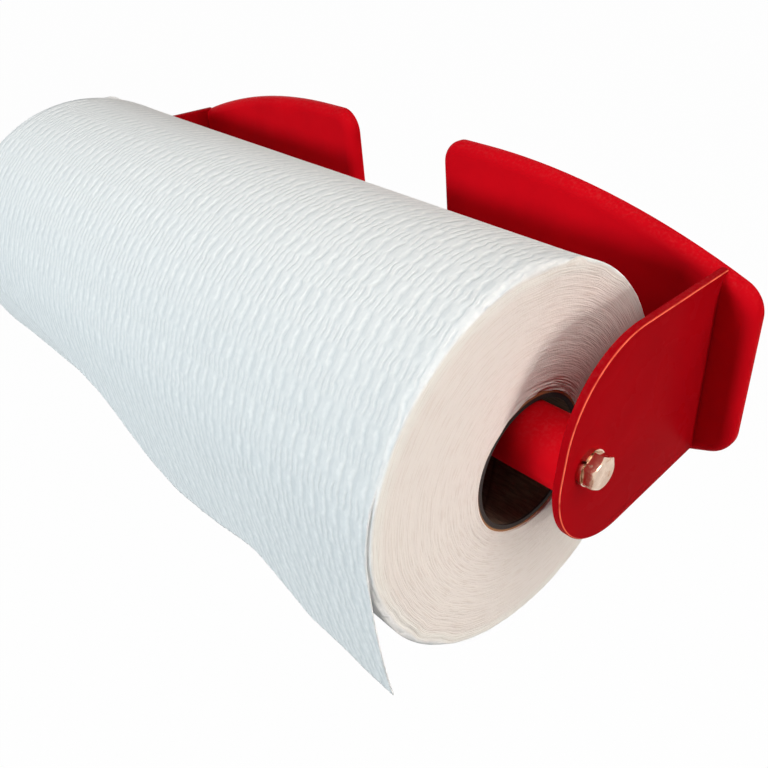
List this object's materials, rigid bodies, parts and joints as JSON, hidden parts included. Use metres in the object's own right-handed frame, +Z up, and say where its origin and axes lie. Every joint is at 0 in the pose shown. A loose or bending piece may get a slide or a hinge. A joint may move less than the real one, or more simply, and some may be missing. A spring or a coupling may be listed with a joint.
{
  "type": "paper towel holder",
  "caption": "Wall-mounted magnetic paper towel holder: two red steel brackets with a bolted spindle tube that carries a roll of towels.",
  "frame": {"origin": "on the wall plane, midway between the two brackets and at their mid height", "axes": "+X along the spindle to the user's right, -Y out of the wall to the front, +Z up"},
  "size_m": [0.329, 0.1354, 0.1282],
  "materials": {
    "red_powder_coat": "gloss powder coat",
    "zinc_plate": "bright zinc plate",
    "bare_steel": "turned, oiled",
    "ferrite": "sintered ferrite, matt",
    "black_rubber": "matt sheet",
    "core_board": "grey-brown board",
    "towel_paper": "soft white, embossed"
  },
  "bodies": {
    "holder": {"left_arm": "red_powder_coat", "left_back_pad": "black_rubber", "left_bolt": "zinc_plate", "left_lock_washer": "zinc_plate", "left_magnet_inner": "ferrite", "left_magnet_middle": "ferrite", "left_magnet_outer": "ferrite", "left_spindle_plug": "bare_steel", "left_wall_plate": "red_powder_coat", "right_arm": "red_powder_coat", "right_back_pad": "black_rubber", "right_bolt": "zinc_plate", "right_lock_washer": "zinc_plate", "right_magnet_inner": "ferrite", "right_magnet_middle": "ferrite", "right_magnet_outer": "ferrite", "right_spindle_plug": "bare_steel", "right_wall_plate": "red_powder_coat", "spindle_tube": "red_powder_coat"},
    "hanging_sheet": {"loose_sheet": "towel_paper"},
    "towel_roll": {"cardboard_core": "core_board", "paper_roll": "towel_paper"}
  },
  "joints": [
    {"name": "roll_slide", "type": "slide", "parent": "holder", "child": "hanging_sheet", "axis": [1, 0, 0], "range_m": [0, 0.0168]},
    {"name": "roll_spin", "type": "hinge", "parent": "hanging_sheet", "child": "towel_roll", "pos_m": [0, -0.0708, -0.0118], "axis": [1, 0, 0], "continuous": true}
  ]
}
